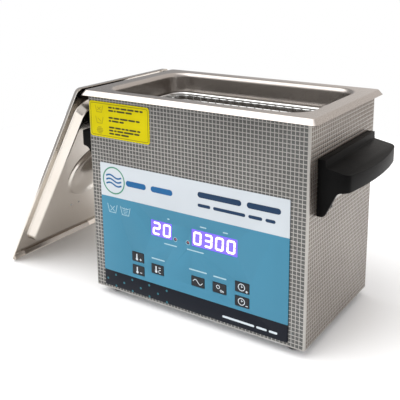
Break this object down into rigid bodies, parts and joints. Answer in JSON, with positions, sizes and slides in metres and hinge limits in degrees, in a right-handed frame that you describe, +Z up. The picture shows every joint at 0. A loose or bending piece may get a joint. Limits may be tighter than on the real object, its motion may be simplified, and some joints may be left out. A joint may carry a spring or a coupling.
{
  "type": "ultrasonic cleaner",
  "caption": "Bench ultrasonic cleaner: box housing with printed panel, keys and displays, side handles, rimmed tank with lift-out basket, lid leaning on its left side.",
  "frame": {"origin": "middle of the whole object's footprint on the worktop, with the lid leaning on the left side; the machine's own middle is 59 mm to the right of it", "axes": "+X to the machine's right, -Y to its front panel, +Z up"},
  "size_m": [0.4626, 0.176, 0.244],
  "materials": {
    "housing_steel": "embossed matt stainless sheet",
    "tank_steel": "drawn stainless, satin",
    "polished_steel": "polished stainless",
    "basket_wire": "bright stainless wire",
    "black_plastic": "satin moulded",
    "foot_rubber": "matt",
    "gasket_silicone": "matt",
    "overlay_film": "printed polyester film, white, blue and dark bands",
    "key_film": "printed film",
    "label_film": "printed vinyl",
    "display_lens": "backlit",
    "lamp_lens": "clear red",
    "zinc_steel": "zinc plated",
    "aluminium": "machined",
    "piezo_ceramic": "silvered",
    "circuit_board": "solder mask",
    "winding_copper": "enamelled winding on a ferrite core",
    "wire_insulation": "pvc sleeve"
  },
  "bodies": {
    "cleaner": {"base_plate": "housing_steel", "board_rail_lower": "aluminium", "board_rail_upper": "aluminium", "caution_label": "label_film", "control_board": "circuit_board", "control_overlay": "overlay_film", "fan_frame": "black_plastic", "foot_1": "foot_rubber", "foot_2": "foot_rubber", "foot_3": "foot_rubber", "foot_4": "foot_rubber", "foot_screw_1": "zinc_steel", "foot_screw_2": "zinc_steel", "foot_screw_3": "zinc_steel", "foot_screw_4": "zinc_steel", "fuse_holder": "black_plastic", "generator_board": "circuit_board", "handle_left": "black_plastic", "handle_right": "black_plastic", "handle_screw_1": "zinc_steel", "handle_screw_2": "zinc_steel", "handle_screw_3": "zinc_steel", "handle_screw_4": "zinc_steel", "heat_sink": "aluminium", "heater_pad": "gasket_silicone", "heating_lamp": "lamp_lens", "housing_shell": "housing_steel", "mains_wiring": "wire_insulation", "power_inlet": "black_plastic", "rim_gasket": "gasket_silicone", "switch_housing": "black_plastic", "tank": "tank_steel", "temperature_display": "display_lens", "thermal_cutout": "black_plastic", "timer_display": "display_lens", "transducer_left_back_mass": "zinc_steel", "transducer_left_clamp_bolt": "zinc_steel", "transducer_left_front_mass": "aluminium", "transducer_left_piezo_stack": "piezo_ceramic", "transducer_right_back_mass": "zinc_steel", "transducer_right_clamp_bolt": "zinc_steel", "transducer_right_front_mass": "aluminium", "transducer_right_piezo_stack": "piezo_ceramic", "transducer_wiring": "wire_insulation", "transformer": "winding_copper", "ultrasonic_lamp": "lamp_lens"},
    "lid": {"lid_shell": "polished_steel", "lid_handle": "polished_steel"},
    "basket": {"basket": "basket_wire"},
    "basket_handle_left": {"basket_handle_left": "basket_wire"},
    "basket_handle_right": {"basket_handle_right": "basket_wire"},
    "power_rocker": {"power_rocker": "black_plastic"},
    "fan_rotor": {"fan_rotor": "black_plastic"},
    "key_temperature_up": {"key_temperature_up": "key_film"},
    "key_temperature_down": {"key_temperature_down": "key_film"},
    "key_heating": {"key_heating": "key_film"},
    "key_ultrasonic": {"key_ultrasonic": "key_film"},
    "key_degas": {"key_degas": "key_film"},
    "key_time_up": {"key_time_up": "key_film"},
    "key_time_down": {"key_time_down": "key_film"}
  },
  "joints": [
    {"name": "lid_lift", "type": "slide", "parent": "cleaner", "child": "lid", "axis": [0, 0, 1], "range_m": [0, 0.12]},
    {"name": "basket_lift", "type": "slide", "parent": "cleaner", "child": "basket", "axis": [0, 0, 1], "range_m": [0, 0.12]},
    {"name": "basket_handle_left_swing", "type": "hinge", "parent": "basket", "child": "basket_handle_left", "pos_m": [-0.0457, -0.001, 0.217], "axis": [0, -1, 0], "range_deg": [0, 178]},
    {"name": "basket_handle_right_swing", "type": "hinge", "parent": "basket", "child": "basket_handle_right", "pos_m": [0.1633, -0.001, 0.217], "axis": [0, 1, 0], "range_deg": [0, 178]},
    {"name": "power_rocker_tilt", "type": "hinge", "parent": "cleaner", "child": "power_rocker", "pos_m": [-0.0332, 0.0795, 0.092], "axis": [1, 0, 0], "range_deg": [-14, 0]},
    {"name": "fan_spin", "type": "hinge", "parent": "cleaner", "child": "fan_rotor", "pos_m": [0.1108, 0.073, 0.076], "axis": [0, 1, 0], "continuous": true},
    {"name": "key_temperature_up_press", "type": "slide", "parent": "cleaner", "child": "key_temperature_up", "axis": [0, 1, 0], "range_m": [0, 0.0005], "stiffness_N_per_m": 400},
    {"name": "key_temperature_down_press", "type": "slide", "parent": "cleaner", "child": "key_temperature_down", "axis": [0, 1, 0], "range_m": [0, 0.0005], "stiffness_N_per_m": 400},
    {"name": "key_heating_press", "type": "slide", "parent": "cleaner", "child": "key_heating", "axis": [0, 1, 0], "range_m": [0, 0.0005], "stiffness_N_per_m": 400},
    {"name": "key_ultrasonic_press", "type": "slide", "parent": "cleaner", "child": "key_ultrasonic", "axis": [0, 1, 0], "range_m": [0, 0.0005], "stiffness_N_per_m": 400},
    {"name": "key_degas_press", "type": "slide", "parent": "cleaner", "child": "key_degas", "axis": [0, 1, 0], "range_m": [0, 0.0005], "stiffness_N_per_m": 400},
    {"name": "key_time_up_press", "type": "slide", "parent": "cleaner", "child": "key_time_up", "axis": [0, 1, 0], "range_m": [0, 0.0005], "stiffness_N_per_m": 400},
    {"name": "key_time_down_press", "type": "slide", "parent": "cleaner", "child": "key_time_down", "axis": [0, 1, 0], "range_m": [0, 0.0005], "stiffness_N_per_m": 400}
  ]
}
